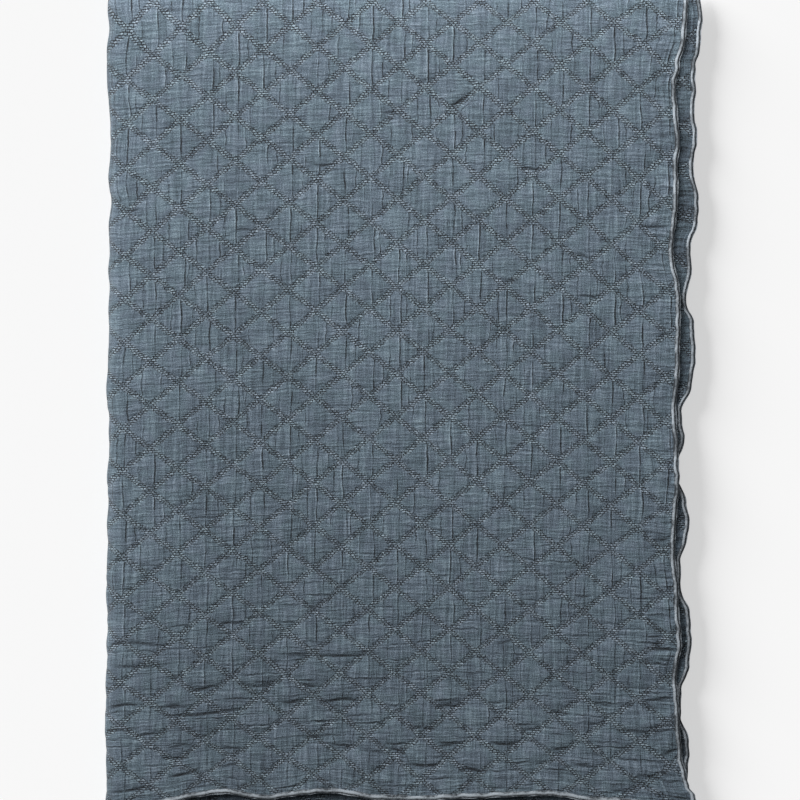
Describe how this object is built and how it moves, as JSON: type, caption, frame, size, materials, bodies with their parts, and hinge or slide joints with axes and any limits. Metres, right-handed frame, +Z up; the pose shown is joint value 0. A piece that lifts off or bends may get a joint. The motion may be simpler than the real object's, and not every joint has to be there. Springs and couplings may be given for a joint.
{
  "type": "coverlet",
  "caption": "Quilted cotton coverlet with an overlocked edge, folded in four and lying flat.",
  "frame": {"origin": "on the surface that it lies on, under the middle of its box", "axes": "+Z up, +Y along the length towards the end fold, -X towards the side fold"},
  "size_m": [0.6632, 0.929, 0.0308],
  "materials": {
    "quilted_cloth": "crinkled double-weave cotton in grey blue, with raised diamonds",
    "edging_thread": "close overlocked cotton thread in a paler grey blue"
  },
  "bodies": {
    "root": {"coverlet": "quilted_cloth", "edging": "edging_thread"}
  },
  "joints": []
}
